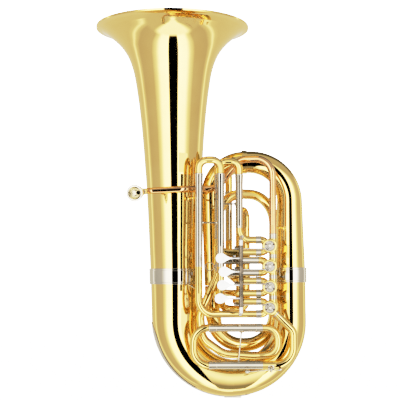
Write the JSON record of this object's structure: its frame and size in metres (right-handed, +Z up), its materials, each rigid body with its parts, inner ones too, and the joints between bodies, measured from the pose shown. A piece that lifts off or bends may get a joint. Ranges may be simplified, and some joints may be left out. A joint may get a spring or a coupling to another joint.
{
  "type": "tuba",
  "caption": "Upright tuba with a wide bell, rotary valves worked by side levers, pull-out tuning slides, a removable mouthpiece and a water key.",
  "frame": {"origin": "under the middle of the instrument's width and depth, at the height of the guard's foot", "axes": "+Z up with the bell opening upwards; +Y away from the player, so the levers and the mouthpiece are on the -Y side; +X towards the valves, the player's left as the tuba is held"},
  "size_m": [0.5757, 0.42, 1.012],
  "materials": {
    "lacquered_brass": "polished yellow brass under clear lacquer",
    "gold_brass": "polished gold brass under clear lacquer",
    "nickel_silver": "polished nickel silver",
    "silver_plate": "bright silver plate",
    "steel": "turned and satin steel",
    "cork": "dark rubber bumper or cork"
  },
  "bodies": {
    "tuba_body": {"bell": "lacquered_brass", "bell_ferrule": "nickel_silver", "bottom_bow": "lacquered_brass", "bottom_bow_guard": "nickel_silver", "right_branch": "lacquered_brass", "right_ferrule": "nickel_silver", "top_bow_collar": "lacquered_brass", "second_branch": "lacquered_brass", "inner_bottom_bow": "lacquered_brass", "inner_top_bow": "lacquered_brass", "first_branch": "lacquered_brass", "tuning_slide_upper_sleeve": "nickel_silver", "tuning_slide_lower_tube": "lacquered_brass", "mouthpiece_receiver": "nickel_silver", "leadpipe": "gold_brass", "slide_1_right_tube": "nickel_silver", "slide_1_left_tube": "nickel_silver", "slide_2_upper_tube": "nickel_silver", "slide_2_lower_tube": "nickel_silver", "slide_3_right_tube": "nickel_silver", "slide_3_left_tube": "nickel_silver", "slide_4_left_tube": "nickel_silver", "slide_4_right_tube": "nickel_silver", "lever_post_upper": "nickel_silver", "lever_post_lower": "nickel_silver", "lever_axle": "steel", "water_key_saddle": "nickel_silver", "bell_brace": "lacquered_brass", "leadpipe_brace": "lacquered_brass", "valve_1_casing": "lacquered_brass", "valve_1_bearing_plate": "nickel_silver", "valve_1_cap": "lacquered_brass", "valve_2_casing": "lacquered_brass", "valve_2_bearing_plate": "nickel_silver", "valve_2_cap": "lacquered_brass", "valve_3_casing": "lacquered_brass", "valve_3_bearing_plate": "nickel_silver", "valve_3_cap": "lacquered_brass", "valve_4_casing": "lacquered_brass", "valve_4_bearing_plate": "nickel_silver", "valve_4_cap": "lacquered_brass"},
    "key_1": {"lever_1": "nickel_silver"},
    "rod_1": {"linkage_rod_1": "steel"},
    "rotor_1": {"valve_1_rotor": "steel"},
    "key_2": {"lever_2": "nickel_silver"},
    "rod_2": {"linkage_rod_2": "steel"},
    "rotor_2": {"valve_2_rotor": "steel"},
    "key_3": {"lever_3": "nickel_silver"},
    "rod_3": {"linkage_rod_3": "steel"},
    "rotor_3": {"valve_3_rotor": "steel"},
    "key_4": {"lever_4": "nickel_silver"},
    "rod_4": {"linkage_rod_4": "steel"},
    "rotor_4": {"valve_4_rotor": "steel"},
    "main_slide": {"main_tuning_slide": "lacquered_brass"},
    "first_slide": {"slide_1": "lacquered_brass"},
    "second_slide": {"slide_2": "nickel_silver"},
    "third_slide": {"slide_3": "lacquered_brass"},
    "fourth_slide": {"slide_4": "lacquered_brass"},
    "mouthpiece_body": {"mouthpiece": "silver_plate"},
    "water_key_body": {"water_key": "nickel_silver"}
  },
  "joints": [
    {"name": "lever_1_press", "type": "hinge", "parent": "tuba_body", "child": "key_1", "pos_m": [0.106, -0.139, 0.3717], "axis": [0, 0, -1], "range_deg": [0, 26], "stiffness_Nm_per_rad": 0.1},
    {"name": "linkage_rod_1_swing", "type": "hinge", "parent": "key_1", "child": "rod_1", "pos_m": [0.092, -0.112, 0.39703], "axis": [0, 0, -1], "range_deg": [-26, 0]},
    {"name": "valve_1_turn", "type": "hinge", "parent": "tuba_body", "child": "rotor_1", "pos_m": [0.183, -0.078, 0.405], "axis": [0, -1, 0], "range_deg": [0, 90]},
    {"name": "lever_2_press", "type": "hinge", "parent": "tuba_body", "child": "key_2", "pos_m": [0.106, -0.139, 0.337], "axis": [0, 0, -1], "range_deg": [0, 26], "stiffness_Nm_per_rad": 0.1},
    {"name": "linkage_rod_2_swing", "type": "hinge", "parent": "key_2", "child": "rod_2", "pos_m": [0.092, -0.112, 0.34303], "axis": [0, 0, -1], "range_deg": [-26, 0]},
    {"name": "valve_2_turn", "type": "hinge", "parent": "tuba_body", "child": "rotor_2", "pos_m": [0.183, -0.078, 0.351], "axis": [0, -1, 0], "range_deg": [0, 90]},
    {"name": "lever_3_press", "type": "hinge", "parent": "tuba_body", "child": "key_3", "pos_m": [0.106, -0.139, 0.3027], "axis": [0, 0, -1], "range_deg": [0, 26], "stiffness_Nm_per_rad": 0.1},
    {"name": "linkage_rod_3_swing", "type": "hinge", "parent": "key_3", "child": "rod_3", "pos_m": [0.092, -0.112, 0.30497], "axis": [0, 0, -1], "range_deg": [-26, 0]},
    {"name": "valve_3_turn", "type": "hinge", "parent": "tuba_body", "child": "rotor_3", "pos_m": [0.183, -0.078, 0.297], "axis": [0, 1, 0], "range_deg": [0, 90]},
    {"name": "lever_4_press", "type": "hinge", "parent": "tuba_body", "child": "key_4", "pos_m": [0.106, -0.139, 0.2685], "axis": [0, 0, -1], "range_deg": [0, 26], "stiffness_Nm_per_rad": 0.1},
    {"name": "linkage_rod_4_swing", "type": "hinge", "parent": "key_4", "child": "rod_4", "pos_m": [0.092, -0.112, 0.25097], "axis": [0, 0, -1], "range_deg": [-26, 0]},
    {"name": "valve_4_turn", "type": "hinge", "parent": "tuba_body", "child": "rotor_4", "pos_m": [0.183, -0.078, 0.243], "axis": [0, 1, 0], "range_deg": [0, 90]},
    {"name": "main_slide_pull", "type": "slide", "parent": "tuba_body", "child": "main_slide", "axis": [-1, 0, 0], "range_m": [0, 0.08]},
    {"name": "slide_1_pull", "type": "slide", "parent": "tuba_body", "child": "first_slide", "axis": [0, 0, 1], "range_m": [0, 0.11]},
    {"name": "slide_2_pull", "type": "slide", "parent": "tuba_body", "child": "second_slide", "axis": [-1, 0, 0], "range_m": [0, 0.05]},
    {"name": "slide_3_pull", "type": "slide", "parent": "tuba_body", "child": "third_slide", "axis": [0, 0, 1], "range_m": [0, 0.11]},
    {"name": "slide_4_pull", "type": "slide", "parent": "tuba_body", "child": "fourth_slide", "axis": [0, 0, 1], "range_m": [0, 0.11]},
    {"name": "mouthpiece_pull", "type": "slide", "parent": "tuba_body", "child": "mouthpiece_body", "axis": [-0.2502, -0.9589, -0.1341], "range_m": [0, 0.028]},
    {"name": "water_key_open", "type": "hinge", "parent": "tuba_body", "child": "water_key_body", "pos_m": [0.186, -0.09026, 0.08271], "axis": [0, 0.6428, -0.766], "range_deg": [0, 8], "stiffness_Nm_per_rad": 0.03}
  ],
  "couplings": [
    {"joint": "linkage_rod_1_swing", "follows": "lever_1_press", "ratio": -1},
    {"joint": "valve_1_turn", "follows": "lever_1_press", "ratio": 3.4615},
    {"joint": "linkage_rod_2_swing", "follows": "lever_2_press", "ratio": -1},
    {"joint": "valve_2_turn", "follows": "lever_2_press", "ratio": 3.4615},
    {"joint": "linkage_rod_3_swing", "follows": "lever_3_press", "ratio": -1},
    {"joint": "valve_3_turn", "follows": "lever_3_press", "ratio": 3.4615},
    {"joint": "linkage_rod_4_swing", "follows": "lever_4_press", "ratio": -1},
    {"joint": "valve_4_turn", "follows": "lever_4_press", "ratio": 3.4615}
  ]
}
